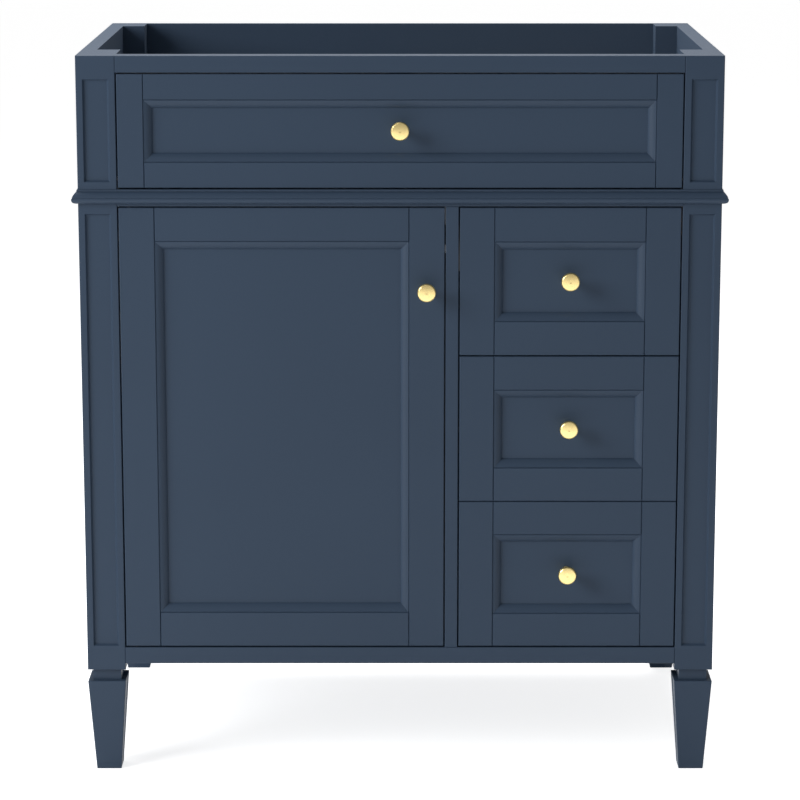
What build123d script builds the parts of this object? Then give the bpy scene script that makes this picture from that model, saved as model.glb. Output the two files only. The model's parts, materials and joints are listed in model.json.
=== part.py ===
"""Bathroom vanity cabinet without its countertop: an inset face-frame cabinet on four legs.

It has a tip-out tray front across the top, a door on the left and three drawers on the right.
Millimetres, +Z up, front towards -Y. The origin is on the floor, at the middle of the bounding box.
"""

import math
import os

from build123d import *

os.makedirs("parts", exist_ok=True)

# ---------------------------------------------------------------- overall size
WIDTH = 750.0
DEPTH = 457.0
HEIGHT = 864.0
KNOB_REACH = 25.0
FRONT = -(DEPTH + KNOB_REACH) / 2 + KNOB_REACH
BACK = FRONT + DEPTH
CUT_PAST = 1.0

# ---------------------------------------------------------------- carcass
POST_WIDTH = 45.5
POST_DEPTH = 50.0
POST_FOOT = 127.0
POST_INNER = WIDTH / 2 - POST_WIDTH
REAR_POST_DEPTH = 47.5
SIDE_THICKNESS = 18.0
SIDE_INNER = WIDTH / 2 - SIDE_THICKNESS
CLEAT_DEPTH = 28.0
BACK_THICKNESS = 9.0
RAIL_THICKNESS = 22.0
TOP_RAIL_BOTTOM = 844.4
MIDDLE_RAIL_BOTTOM = 688.7
MIDDLE_RAIL_TOP = 708.7
BOTTOM_RAIL_BOTTOM = 135.0
BOTTOM_RAIL_TOP = 155.1
BOTTOM_THICKNESS = 18.0
DIVIDER_LEFT = 53.6
DIVIDER_RIGHT = 68.6
EASE = 0.6
JOINT_V_WIDTH = 0.9
JOINT_V_DEPTH = 1.3
TOUCH = 0.01

# Sunk panels cut in the faces of the front posts.
FLUTE_WIDTH = 30.3
FLUTE_DEPTH = 3.0
FLUTE_TAPER = 33.0
FLUTE_HEIGHTS = [(157.0, 680.0), (717.0, 837.0)]

# Plumbing cut-out in the back panel.
CUTOUT_LEFT = -240.0
CUTOUT_RIGHT = 40.0
CUTOUT_BOTTOM = 390.0
CUTOUT_TOP = 610.0
CUTOUT_RADIUS = 20.0

# ---------------------------------------------------------------- bead moulding
BEAD_TOP = 708.2
BEAD_BOTTOM = 692.0
BEAD_REACH = 7.1
BEAD_FILLET = 1.3
BEAD_FILLET_HEIGHT = 1.8
BEAD_QUIRK = 0.6
BEAD_QUIRK_LEAN = 0.2
BEAD_OVOLO_REACH = 6.3
BEAD_OVOLO_HEIGHT = 6.2
BEAD_OVOLO_CROWN = 0.9
BEAD_NOSE_DROP = 11.0
BEAD_UNDERSIDE = 2.0
BEAD_NOSE_START = (1, -0.5)
BEAD_NOSE_END = (-1, -0.25)

# ---------------------------------------------------------------- legs
LEG_TOP_SIZE = 45.5
LEG_SOLE_SIZE = 29.5
LEG_BLOCK_TOP = 113.0
NECK_SIZE = 33.5
BOLT_RADIUS = 4.0
BOLT_LOW = 75.0
BOLT_HIGH = 165.0
BOLT_CLEARANCE = 0.1
LEG_X = WIDTH / 2 - LEG_TOP_SIZE / 2
LEG_FRONT_Y = FRONT + LEG_TOP_SIZE / 2
LEG_REAR_Y = BACK - LEG_TOP_SIZE / 2

# ---------------------------------------------------------------- shelf
SHELF_BOTTOM = 330.0
SHELF_THICKNESS = 16.0
SHELF_LEFT = -328.0
SHELF_RIGHT = 52.1
SHELF_FRONT = FRONT + 56.0
SHELF_REAR = FRONT + 440.0
PIN_RADIUS = 2.5
PIN_HALF_LENGTH = 8.0
PIN_YS = [FRONT + 64.0, FRONT + 426.0]

# ---------------------------------------------------------------- fronts
FRONT_THICKNESS = 19.0
STICKING = 10.0
STICKING_DEPTH = 7.5
STICKING_CROWN = 1.1
STICKING_LIP = 0.5
QUIRK_WIDTH = 0.7
QUIRK_DEPTH = 1.3
QUIRK_RISE = 0.6
PANEL_THICKNESS = 6.0
GROOVE = 6.0
PANEL_PLAY = 0.5
GAP = 1.5
BOTTOM_GAP = 1.7
DRAWER_SPLITS = [(510.5, 512.0), (334.7, 335.6)]

FRONTS_LEFT = -POST_INNER + GAP
FRONTS_RIGHT = POST_INNER - GAP
FRONTS_LOW = BOTTOM_RAIL_TOP + BOTTOM_GAP
FRONTS_HIGH = MIDDLE_RAIL_BOTTOM - GAP
TIPOUT = {
    "left": FRONTS_LEFT,
    "right": FRONTS_RIGHT,
    "low": MIDDLE_RAIL_TOP + BOTTOM_GAP,
    "high": TOP_RAIL_BOTTOM - GAP,
}
TIPOUT_STILE = 30.6
TIPOUT_RAIL = 30.0
DOOR = {
    "left": FRONTS_LEFT,
    "right": DIVIDER_LEFT - GAP,
    "low": FRONTS_LOW,
    "high": FRONTS_HIGH,
}
DOOR_STILE = 41.4
DOOR_TOP_RAIL = 39.8
DOOR_BOTTOM_RAIL = 41.7
DRAWER_LEFT = DIVIDER_RIGHT + GAP
DRAWER_RIGHT = FRONTS_RIGHT
DRAWER_STILE = 40.6
DRAWER_RAIL = 40.4
DRAWER_HEIGHTS = [
    (DRAWER_SPLITS[0][1], FRONTS_HIGH),
    (DRAWER_SPLITS[1][1], DRAWER_SPLITS[0][0]),
    (FRONTS_LOW, DRAWER_SPLITS[1][0]),
]

# ---------------------------------------------------------------- pivots
PIVOT_RADIUS = 2.5
PIVOT_CLEARANCE = 0.05
PIVOT_DEPTH = 5.0
DOOR_PIVOT_X = DOOR["left"] + 12.0
DOOR_PIVOT_IN_DOOR = 20.0
DOOR_PIVOT_IN_RAIL = 12.0
TIPOUT_PIVOT_Z = TIPOUT["low"] + 10.0
TIPOUT_PIVOT_IN_FRONT = 20.0
TIPOUT_PIVOT_IN_POST = 7.0
PIVOT_END_PLAY = 0.5

# ---------------------------------------------------------------- knobs
KNOB_RADIUS = 11.0
KNOB_BASE_RADIUS = 6.0
KNOB_STEM_RADIUS = 4.3
KNOB_FACE_RADIUS = 9.2
KNOB_CROWN = 0.7
KNOB_BASE_HEIGHT = 1.6
KNOB_FOOT_STEP = 1.0
KNOB_FLARE_SPREAD = 1.1
KNOB_UNDERCUT = 0.6
KNOB_RIM_STEP = 0.8
KNOB_WAIST = 8.0
KNOB_FLARE = 13.5
KNOB_HEAD = 17.5
KNOB_RIM_DEPTH = 20.6
KNOB_BORE_DEPTH = 12.0
SCREW_RADIUS = 2.0
SCREW_CLEARANCE = 0.25
SCREW_HEAD_RADIUS = 4.2
SCREW_HEAD_HEIGHT = 2.4
SCREW_TIP_PLAY = 1.0
TIPOUT_KNOB = (0.0, 778.0)
DOOR_KNOB = (31.0, 590.0)
DRAWER_KNOB_X = 198.9
DRAWER_KNOB_RISE = 2.0

# ---------------------------------------------------------------- catches
STRIKE_THICKNESS = 1.2
STRIKE_WIDTH = 14.0
STRIKE_MARGIN = 6.0
CATCH_GAP = 0.4
CATCH_LENGTH = 24.0
CATCH_BODY = 20.0
CATCH_DEPTH = 27.0
CATCH_SETBACK = 0.5
CATCH_NOSE_INSET = 3.0
DOOR_CATCH_LOW = 640.0
TIPOUT_CATCH_BLOCK_TOP = HEIGHT - 6.0
TIPOUT_CATCH_DEPTH = 18.0

# ---------------------------------------------------------------- tray
TRAY_HALF_LENGTH = 280.0
TRAY_DEPTH = 50.0
TRAY_LOW = 728.0
TRAY_HIGH = 800.0
TRAY_WALL = 2.0
TRAY_CORNER = 8.0

# ---------------------------------------------------------------- drawer boxes and slides
SLIDE_WIDTH = 12.7
SLIDE_SETBACK = 24.0
SLIDE_LENGTH = 400.0
SHEET = 1.2
CABINET_MEMBER_HEIGHT = 45.0
MIDDLE_MEMBER_HEIGHT = 36.0
DRAWER_MEMBER_HEIGHT = 26.0
CABINET_MEMBER_REACH = 9.0
MIDDLE_MEMBER_WEB = 3.4
MIDDLE_MEMBER_REACH = 9.4
DRAWER_MEMBER_REACH = 6.0
BOX_LENGTH = 400.0
BOX_HEIGHT = 112.0
BOX_LIFT = 18.0
BOX_WALL = 12.0
BOX_BOTTOM_LIFT = 8.0
BOX_BOTTOM_THICKNESS = 6.0
BOX_GROOVE = 6.0
BOX_LEFT = DIVIDER_RIGHT + SLIDE_WIDTH
BOX_RIGHT = POST_INNER - SLIDE_WIDTH
BOX_FRONT = FRONT + FRONT_THICKNESS
BOX_BACK = BOX_FRONT + BOX_LENGTH

# A cylinder that starts at its location.
ON_END = (Align.CENTER, Align.CENTER, Align.MIN)


def save(piece, node):
    """Label one finished piece, or one group of separate solids, and write it."""
    piece.label = node
    export_step(piece, f"parts/{node}.step")


def board(x_range, y_range, z_range, mode=Mode.ADD):
    """A square-edged board between three pairs of limits."""
    limits = (x_range, y_range, z_range)
    centre = tuple(sum(pair) / 2 for pair in limits)
    size = [pair[1] - pair[0] for pair in limits]
    with Locations(centre):
        Box(*size, mode=mode)


def bore(start, direction, radius, length, mode=Mode.SUBTRACT):
    """A round bore, or a pin with Mode.ADD, from its start along a direction."""
    with Locations(Plane(origin=start, z_dir=direction)):
        Cylinder(radius, length, align=ON_END, mode=mode)


def ease_front(member):
    """Chamfer the edges round the front face of the board being built."""
    chamfer(member.faces().sort_by(Axis.Y)[0].edges(), EASE)


def rail(x_range, z_range):
    """A face-frame rail or stile behind the front plane, with eased front edges."""
    with BuildPart() as member:
        board(x_range, (FRONT, FRONT + RAIL_THICKNESS), z_range)
        ease_front(member)
    return member.part


# ================================================================ posts
def front_post(side):
    """A front corner post with its two sunk panels; side is -1 for left, 1 for right."""
    inner = side * POST_INNER
    outer = side * WIDTH / 2
    with BuildPart() as post:
        board(sorted((inner, outer)), (FRONT, FRONT + POST_DEPTH), (POST_FOOT, HEIGHT))
        ease_front(post)
        for low, high in FLUTE_HEIGHTS:
            centre = ((inner + outer) / 2, FRONT, (low + high) / 2)
            with BuildSketch(Plane(origin=centre, x_dir=(1, 0, 0), z_dir=(0, -1, 0))):
                Rectangle(FLUTE_WIDTH, high - low)
            extrude(amount=-FLUTE_DEPTH, taper=FLUTE_TAPER, mode=Mode.SUBTRACT)
        bore(
            (side * LEG_X, LEG_FRONT_Y, POST_FOOT),
            (0, 0, 1),
            BOLT_RADIUS + BOLT_CLEARANCE,
            BOLT_HIGH - POST_FOOT + CUT_PAST,
        )
        bore(
            (inner, FRONT + PIVOT_DEPTH, TIPOUT_PIVOT_Z),
            (side, 0, 0),
            PIVOT_RADIUS + PIVOT_CLEARANCE,
            TIPOUT_PIVOT_IN_POST,
        )
    return post.part


def rear_post(side):
    """A plain rear corner post; the left one has a shelf-pin hole."""
    inner = side * POST_INNER
    with BuildPart() as post:
        board(
            sorted((inner, side * WIDTH / 2)),
            (BACK - REAR_POST_DEPTH, BACK),
            (POST_FOOT, HEIGHT),
        )
        bore(
            (side * LEG_X, LEG_REAR_Y, POST_FOOT),
            (0, 0, 1),
            BOLT_RADIUS + BOLT_CLEARANCE,
            BOLT_HIGH - POST_FOOT + CUT_PAST,
        )
        if side < 0:
            bore(
                (inner, PIN_YS[1], SHELF_BOTTOM - PIN_RADIUS),
                (-1, 0, 0),
                PIN_RADIUS,
                PIN_HALF_LENGTH,
            )
    return post.part


for side, word in ((-1, "left"), (1, "right")):
    save(front_post(side), f"front_post_{word}")
    save(rear_post(side), f"rear_post_{word}")

# Cleats fill the corner behind each front post, in line with its inner face.
with BuildPart() as post_cleats:
    for side in (-1, 1):
        board(
            sorted((side * POST_INNER, side * SIDE_INNER)),
            (FRONT + POST_DEPTH, FRONT + POST_DEPTH + CLEAT_DEPTH),
            (BOTTOM_RAIL_TOP, HEIGHT),
        )
    bore(
        (-POST_INNER, PIN_YS[0], SHELF_BOTTOM - PIN_RADIUS),
        (-1, 0, 0),
        PIN_RADIUS,
        PIN_HALF_LENGTH,
    )
save(post_cleats.part, "post_cleats")

# ================================================================ panels
for side, word in ((-1, "left"), (1, "right")):
    with BuildPart() as side_panel:
        board(
            sorted((side * SIDE_INNER, side * WIDTH / 2)),
            (FRONT + POST_DEPTH, BACK - REAR_POST_DEPTH),
            (BOTTOM_RAIL_BOTTOM, HEIGHT),
        )
    save(side_panel.part, f"side_panel_{word}")

with BuildPart() as bottom_panel:
    board(
        (-SIDE_INNER, SIDE_INNER),
        (FRONT + RAIL_THICKNESS, BACK - BACK_THICKNESS),
        (BOTTOM_RAIL_TOP - BOTTOM_THICKNESS, BOTTOM_RAIL_TOP),
    )
    for side in (-1, 1):
        corner = sorted((side * POST_INNER, side * WIDTH / 2))
        board(corner, (FRONT, FRONT + POST_DEPTH), (0, HEIGHT), Mode.SUBTRACT)
        board(corner, (BACK - REAR_POST_DEPTH, BACK), (0, HEIGHT), Mode.SUBTRACT)
save(bottom_panel.part, "bottom_panel")

with BuildPart() as divider_panel:
    board(
        (DIVIDER_LEFT, DIVIDER_RIGHT),
        (FRONT + RAIL_THICKNESS, BACK - BACK_THICKNESS),
        (BOTTOM_RAIL_TOP, MIDDLE_RAIL_TOP),
    )
    for pin_y in PIN_YS:
        bore(
            (DIVIDER_LEFT, pin_y, SHELF_BOTTOM - PIN_RADIUS),
            (1, 0, 0),
            PIN_RADIUS,
            PIN_HALF_LENGTH,
        )
save(divider_panel.part, "divider_panel")

with BuildPart() as back_panel:
    board(
        (-POST_INNER, POST_INNER),
        (BACK - BACK_THICKNESS, BACK),
        (BOTTOM_RAIL_TOP - BOTTOM_THICKNESS, HEIGHT),
    )
    board(
        (CUTOUT_LEFT, CUTOUT_RIGHT),
        (BACK - 2 * BACK_THICKNESS, BACK + BACK_THICKNESS),
        (CUTOUT_BOTTOM, CUTOUT_TOP),
        Mode.SUBTRACT,
    )
    cutout_corners = (
        back_panel.edges()
        .filter_by(Axis.Y)
        .filter_by_position(Axis.Z, CUTOUT_BOTTOM, CUTOUT_TOP)
        .filter_by_position(Axis.X, CUTOUT_LEFT, CUTOUT_RIGHT)
    )
    fillet(cutout_corners, CUTOUT_RADIUS)
save(back_panel.part, "back_panel")

# ================================================================ face frame
save(rail((-POST_INNER, POST_INNER), (TOP_RAIL_BOTTOM, HEIGHT)), "top_rail")

with BuildPart() as middle_rail:
    board(
        (-POST_INNER, POST_INNER),
        (FRONT, FRONT + RAIL_THICKNESS),
        (MIDDLE_RAIL_BOTTOM, MIDDLE_RAIL_TOP),
    )
    bore(
        (DOOR_PIVOT_X, FRONT + PIVOT_DEPTH, MIDDLE_RAIL_BOTTOM),
        (0, 0, 1),
        PIVOT_RADIUS + PIVOT_CLEARANCE,
        DOOR_PIVOT_IN_RAIL,
    )
save(middle_rail.part, "middle_rail")

with BuildPart() as bottom_rail:
    board(
        (-POST_INNER, POST_INNER),
        (FRONT, FRONT + RAIL_THICKNESS),
        (BOTTOM_RAIL_BOTTOM, BOTTOM_RAIL_TOP),
    )
    ease_front(bottom_rail)
    bore(
        (DOOR_PIVOT_X, FRONT + PIVOT_DEPTH, BOTTOM_RAIL_TOP),
        (0, 0, -1),
        PIVOT_RADIUS + PIVOT_CLEARANCE,
        DOOR_PIVOT_IN_RAIL,
    )
save(bottom_rail.part, "bottom_rail")

save(
    rail((DIVIDER_LEFT, DIVIDER_RIGHT), (BOTTOM_RAIL_TOP, MIDDLE_RAIL_BOTTOM)),
    "divider_stile",
)


# ================================================================ bead moulding
# The bead's section: a fillet, a sloping ovolo, a quirk, and a nose that turns under.
fillet_low = BEAD_TOP - BEAD_FILLET_HEIGHT
ovolo_top = (BEAD_QUIRK + BEAD_QUIRK_LEAN, fillet_low - BEAD_QUIRK)
ovolo_low = (BEAD_OVOLO_REACH, ovolo_top[1] - BEAD_OVOLO_HEIGHT)
slope = Vector(*ovolo_low) - Vector(*ovolo_top)
crown = Vector(-slope.Y, slope.X).normalized() * BEAD_OVOLO_CROWN
crest = Vector(*ovolo_top) + slope / 2 + crown
quirk_floor = (BEAD_OVOLO_REACH - BEAD_QUIRK / 2, ovolo_low[1] - BEAD_QUIRK)
nose_top = (BEAD_OVOLO_REACH + BEAD_QUIRK_LEAN, quirk_floor[1] - BEAD_QUIRK / 2)
nose = (BEAD_REACH, BEAD_TOP - BEAD_NOSE_DROP)
with BuildLine() as bead_section:
    Polyline(
        (0, BEAD_BOTTOM),
        (0, BEAD_TOP),
        (BEAD_FILLET, BEAD_TOP),
        (BEAD_FILLET, fillet_low),
        (BEAD_QUIRK, fillet_low),
        ovolo_top,
    )
    ThreePointArc(ovolo_top, (crest.X, crest.Y), ovolo_low)
    Polyline(ovolo_low, quirk_floor, nose_top)
    Spline(nose_top, nose, tangents=[BEAD_NOSE_START, (0, -1)])
    Spline(nose, (BEAD_UNDERSIDE, BEAD_BOTTOM), tangents=[(0, -1), BEAD_NOSE_END])
    Line((BEAD_UNDERSIDE, BEAD_BOTTOM), (0, BEAD_BOTTOM))


def bead_strip(start, outward, length, mitred_far_end):
    """One length of bead, mitred where it turns a front corner."""
    outward = Vector(*outward)
    run = outward.cross(Vector(0, 0, 1))
    first = Vector(*start) - run * BEAD_REACH
    full_length = length + BEAD_REACH * (2 if mitred_far_end else 1)
    middle = (BEAD_TOP + BEAD_BOTTOM) / 2
    with BuildPart() as strip:
        with BuildSketch(Plane(origin=first, x_dir=outward, z_dir=run)):
            add(bead_section.line)
            make_face()
        extrude(amount=full_length)
        mitre_plane = Plane(origin=first, x_dir=outward, z_dir=(0, 0, 1))
        sense = 1 if mitre_plane.y_dir.dot(run) > 0 else -1
        with BuildSketch(mitre_plane.offset(middle)):
            with BuildLine():
                Polyline(
                    (0, 0),
                    (BEAD_REACH, 0),
                    (0, sense * BEAD_REACH),
                    close=True,
                )
            make_face()
            if mitred_far_end:
                with BuildLine():
                    Polyline(
                        (0, sense * full_length),
                        (BEAD_REACH, sense * full_length),
                        (0, sense * (full_length - BEAD_REACH)),
                        close=True,
                    )
                make_face()
        extrude(amount=BEAD_TOP - BEAD_BOTTOM, both=True, mode=Mode.SUBTRACT)
    return strip.part


bead_strips = [
    bead_strip((WIDTH / 2, FRONT, 0), (0, -1, 0), WIDTH, True),
    bead_strip((-WIDTH / 2, FRONT, 0), (-1, 0, 0), DEPTH, False),
]
bead_strips.append(bead_strips[1].mirror(Plane.YZ))
save(Compound(bead_strips), "bead_moulding")


# ================================================================ legs
def leg(x, y):
    """A square leg that tapers evenly to its sole, with an inset neck under the post."""
    with BuildPart() as tapered:
        with BuildSketch(Plane.XY):
            with Locations((x, y)):
                Rectangle(LEG_SOLE_SIZE, LEG_SOLE_SIZE)
        with BuildSketch(Plane.XY.offset(LEG_BLOCK_TOP)):
            with Locations((x, y)):
                Rectangle(LEG_TOP_SIZE, LEG_TOP_SIZE)
        loft()
        chamfer(tapered.edges().filter_by(Axis.Z, reverse=True), EASE)
        board(
            (x - NECK_SIZE / 2, x + NECK_SIZE / 2),
            (y - NECK_SIZE / 2, y + NECK_SIZE / 2),
            (LEG_BLOCK_TOP, POST_FOOT),
        )
        bore(
            (x, y, POST_FOOT),
            (0, 0, -1),
            BOLT_RADIUS + BOLT_CLEARANCE,
            POST_FOOT - BOLT_LOW + CUT_PAST,
        )
    return tapered.part


for row_y, row in ((LEG_FRONT_Y, "front"), (LEG_REAR_Y, "rear")):
    for side, word in ((-1, "left"), (1, "right")):
        save(leg(side * LEG_X, row_y), f"leg_{row}_{word}")

with BuildPart() as leg_bolts:
    for side in (-1, 1):
        for row_y in (LEG_FRONT_Y, LEG_REAR_Y):
            bore(
                (side * LEG_X, row_y, BOLT_LOW),
                (0, 0, 1),
                BOLT_RADIUS,
                BOLT_HIGH - BOLT_LOW,
                Mode.ADD,
            )
save(leg_bolts.part, "leg_bolts")

# ================================================================ shelf
with BuildPart() as shelf:
    board(
        (SHELF_LEFT, SHELF_RIGHT),
        (SHELF_FRONT, SHELF_REAR),
        (SHELF_BOTTOM, SHELF_BOTTOM + SHELF_THICKNESS),
    )
    ease_front(shelf)
save(shelf.part, "shelf")

with BuildPart() as shelf_pins:
    for pin_y in PIN_YS:
        for wall_x, into in ((-POST_INNER, -1), (DIVIDER_LEFT, 1)):
            bore(
                (wall_x + into * PIN_HALF_LENGTH, pin_y, SHELF_BOTTOM - PIN_RADIUS),
                (-into, 0, 0),
                PIN_RADIUS,
                2 * PIN_HALF_LENGTH,
                Mode.ADD,
            )
save(shelf_pins.part, "shelf_pins")


# ================================================================ framed fronts
def frame_member(corner, across, length, flat, end_flats):
    """A stile or a rail with its moulded inner edge and the groove for the panel.

    corner is on the front plane, where the outer edge starts; across points to the panel.
    end_flats are the widths of the rails that butt on the inner edge, or zeros for a rail.
    """
    across = Vector(*across)
    run = across.cross(Vector(0, 1, 0))
    inner = flat + STICKING
    groove_back = STICKING_DEPTH + PANEL_THICKNESS
    chord = Vector(STICKING - QUIRK_WIDTH, STICKING_DEPTH - STICKING_LIP - QUIRK_RISE)
    bulge = Vector(chord.Y, -chord.X).normalized() * STICKING_CROWN
    crest = Vector(flat + QUIRK_WIDTH, QUIRK_RISE) + chord * 0.5 + bulge
    with BuildPart() as member:
        with BuildSketch(Plane(origin=corner, x_dir=across, z_dir=run)):
            with BuildLine():
                Polyline(
                    (flat + QUIRK_WIDTH, QUIRK_RISE),
                    (flat, QUIRK_DEPTH),
                    (flat - QUIRK_WIDTH, 0),
                    (EASE, 0),
                    (0, EASE),
                    (0, FRONT_THICKNESS),
                    (inner, FRONT_THICKNESS),
                    (inner, groove_back),
                    (inner - GROOVE, groove_back),
                    (inner - GROOVE, STICKING_DEPTH),
                    (inner, STICKING_DEPTH),
                    (inner, STICKING_DEPTH - STICKING_LIP),
                )
                ThreePointArc(
                    (inner, STICKING_DEPTH - STICKING_LIP),
                    (crest.X, crest.Y),
                    (flat + QUIRK_WIDTH, QUIRK_RISE),
                )
            make_face()
        extrude(amount=length)
        # The moulding is mitred at 45 degrees where it meets the next member's.
        mitre_plane = Plane(origin=corner, x_dir=across, z_dir=(0, 1, 0))
        sense = 1 if mitre_plane.y_dir.dot(run) > 0 else -1
        beyond = STICKING + CUT_PAST
        with BuildSketch(mitre_plane):
            for origin, way, end_flat in (
                (0, 1, end_flats[0]),
                (length, -1, end_flats[1]),
            ):
                with BuildLine():
                    Polyline(
                        (flat, sense * origin),
                        (flat + beyond, sense * origin),
                        (flat + beyond, sense * (origin + way * (end_flat + beyond))),
                        (flat, sense * (origin + way * end_flat)),
                        close=True,
                    )
                make_face()
        extrude(amount=FRONT_THICKNESS, mode=Mode.SUBTRACT)
        # A rail's ends are cut to a V where they butt on the stiles; a stile's are only eased.
        ends = member.edges().filter_by_position(
            Axis.Y, corner[1] - TOUCH, corner[1] + TOUCH
        )
        ends = ends.filter_by(lambda edge: abs(edge.tangent_at(0.5).dot(across)) > 0.99)
        if any(end_flats):
            chamfer(ends, EASE)
        else:
            front_face = member.faces().sort_by(Axis.Y)[0]
            chamfer(ends, JOINT_V_WIDTH, JOINT_V_DEPTH, reference=front_face)
    return member.part


def front_frame(box, stile, rail_low, rail_high):
    """The two stiles and two rails round a recessed panel."""
    height = box["high"] - box["low"]
    span = box["right"] - box["left"] - 2 * stile
    left = frame_member(
        (box["left"], FRONT, box["low"]), (1, 0, 0), height, stile, (rail_low, rail_high)
    )
    right = frame_member(
        (box["right"], FRONT, box["high"]),
        (-1, 0, 0),
        height,
        stile,
        (rail_high, rail_low),
    )
    bottom = frame_member(
        (box["right"] - stile, FRONT, box["low"]), (0, 0, 1), span, rail_low, (0, 0)
    )
    top = frame_member(
        (box["left"] + stile, FRONT, box["high"]), (0, 0, -1), span, rail_high, (0, 0)
    )
    return left, right, bottom, top


def front_panel(box, stile, rail_low, rail_high, hole_at=None):
    """The flat panel that floats in the frame's groove, with its knob's screw hole."""
    edge = STICKING - GROOVE + PANEL_PLAY
    faces = (
        FRONT + STICKING_DEPTH,
        FRONT + STICKING_DEPTH + PANEL_THICKNESS,
    )
    with BuildPart() as panel:
        board(
            (box["left"] + stile + edge, box["right"] - stile - edge),
            faces,
            (box["low"] + rail_low + edge, box["high"] - rail_high - edge),
        )
        if hole_at:
            bore(
                (hole_at[0], faces[0], hole_at[1]),
                (0, 1, 0),
                SCREW_RADIUS + SCREW_CLEARANCE,
                PANEL_THICKNESS,
            )
    return panel.part


def knob(x, z, seat, screw_seat):
    """A round knob with a slightly crowned face, and the screw that holds it from behind."""
    base_edge = (KNOB_BASE_RADIUS, -KNOB_BASE_HEIGHT)
    stem_foot = (KNOB_BASE_RADIUS - KNOB_FOOT_STEP, -KNOB_BASE_HEIGHT - KNOB_FOOT_STEP)
    stem_waist = (KNOB_STEM_RADIUS, -KNOB_WAIST)
    stem_flare = (KNOB_STEM_RADIUS + KNOB_FLARE_SPREAD, -KNOB_FLARE)
    under_head = (KNOB_FACE_RADIUS - KNOB_UNDERCUT, -KNOB_HEAD)
    rim_edge = (KNOB_FACE_RADIUS + KNOB_RIM_STEP, -KNOB_REACH + 2 * KNOB_CROWN)
    face_edge = (KNOB_FACE_RADIUS, -KNOB_REACH + KNOB_CROWN)
    dome = (KNOB_FACE_RADIUS**2 + KNOB_CROWN**2) / (2 * KNOB_CROWN)
    half = KNOB_FACE_RADIUS / 2
    face_mid = (half, -KNOB_REACH + dome - math.sqrt(dome**2 - half**2))
    with BuildPart() as turned:
        with BuildSketch(Plane(origin=(x, seat, z), x_dir=(1, 0, 0), z_dir=(0, 0, 1))):
            with BuildLine():
                Polyline((0, 0), (KNOB_BASE_RADIUS, 0), base_edge, stem_foot)
                Spline(stem_foot, stem_waist, stem_flare, under_head)
                Spline(under_head, (KNOB_RADIUS, -KNOB_RIM_DEPTH), rim_edge)
                Line(rim_edge, face_edge)
                ThreePointArc(face_edge, face_mid, (0, -KNOB_REACH))
                Line((0, -KNOB_REACH), (0, 0))
            make_face()
        revolve(axis=Axis((x, seat, z), (0, 1, 0)))
        bore((x, seat, z), (0, -1, 0), SCREW_RADIUS, KNOB_BORE_DEPTH)
    with BuildPart() as screw:
        shank_end = seat - KNOB_BORE_DEPTH + SCREW_TIP_PLAY
        bore(
            (x, shank_end, z),
            (0, 1, 0),
            SCREW_RADIUS,
            screw_seat - shank_end,
            Mode.ADD,
        )
        bore(
            (x, screw_seat, z),
            (0, 1, 0),
            SCREW_HEAD_RADIUS,
            SCREW_HEAD_HEIGHT,
            Mode.ADD,
        )
        chamfer(screw.edges().sort_by(Axis.Y)[-1], SCREW_HEAD_HEIGHT / 3)
    return Compound([turned.part, screw.part])


PANEL_FACE = FRONT + STICKING_DEPTH
PANEL_REAR = PANEL_FACE + PANEL_THICKNESS

# ================================================================ tip-out front
tip_left, tip_right, tip_bottom, tip_top = front_frame(
    TIPOUT, TIPOUT_STILE, TIPOUT_RAIL, TIPOUT_RAIL
)
with BuildPart() as tipout_stiles:
    add(tip_left)
    add(tip_right)
    for side in (-1, 1):
        bore(
            (side * TIPOUT["right"], FRONT + PIVOT_DEPTH, TIPOUT_PIVOT_Z),
            (-side, 0, 0),
            PIVOT_RADIUS,
            TIPOUT_PIVOT_IN_FRONT,
        )
save(tipout_stiles.part, "tipout_stiles")

with BuildPart() as tipout_rails:
    add(tip_bottom)
    add(tip_top)
save(tipout_rails.part, "tipout_rails")

save(
    front_panel(TIPOUT, TIPOUT_STILE, TIPOUT_RAIL, TIPOUT_RAIL, TIPOUT_KNOB),
    "tipout_panel",
)
save(knob(*TIPOUT_KNOB, PANEL_FACE, PANEL_REAR), "tipout_knob")

with BuildPart() as tipout_pivot_pins:
    for side in (-1, 1):
        bore(
            (
                side * (TIPOUT["right"] - TIPOUT_PIVOT_IN_FRONT),
                FRONT + PIVOT_DEPTH,
                TIPOUT_PIVOT_Z,
            ),
            (side, 0, 0),
            PIVOT_RADIUS,
            TIPOUT_PIVOT_IN_FRONT
            + POST_INNER
            - TIPOUT["right"]
            + TIPOUT_PIVOT_IN_POST
            - PIVOT_END_PLAY,
            Mode.ADD,
        )
save(tipout_pivot_pins.part, "tipout_pivot_pins")

with BuildPart() as tipout_tray:
    tray_front = FRONT + FRONT_THICKNESS
    tray_centre = tray_front + TRAY_DEPTH / 2
    with BuildSketch(Plane.XY.offset(TRAY_HIGH)):
        with Locations((0, tray_centre)):
            RectangleRounded(2 * TRAY_HALF_LENGTH, TRAY_DEPTH, TRAY_CORNER)
    extrude(amount=TRAY_LOW - TRAY_HIGH)
    tray_mouth = tipout_tray.faces().sort_by(Axis.Z)[-1]
    offset(amount=-TRAY_WALL, openings=tray_mouth)
save(tipout_tray.part, "tipout_tray")

with BuildPart() as tipout_strike:
    board(
        (-CATCH_LENGTH / 2, CATCH_LENGTH / 2),
        (FRONT + FRONT_THICKNESS, FRONT + FRONT_THICKNESS + STRIKE_THICKNESS),
        (TIPOUT["high"] - STRIKE_MARGIN - STRIKE_WIDTH, TIPOUT["high"] - STRIKE_MARGIN),
    )
save(tipout_strike.part, "tipout_strike")

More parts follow.
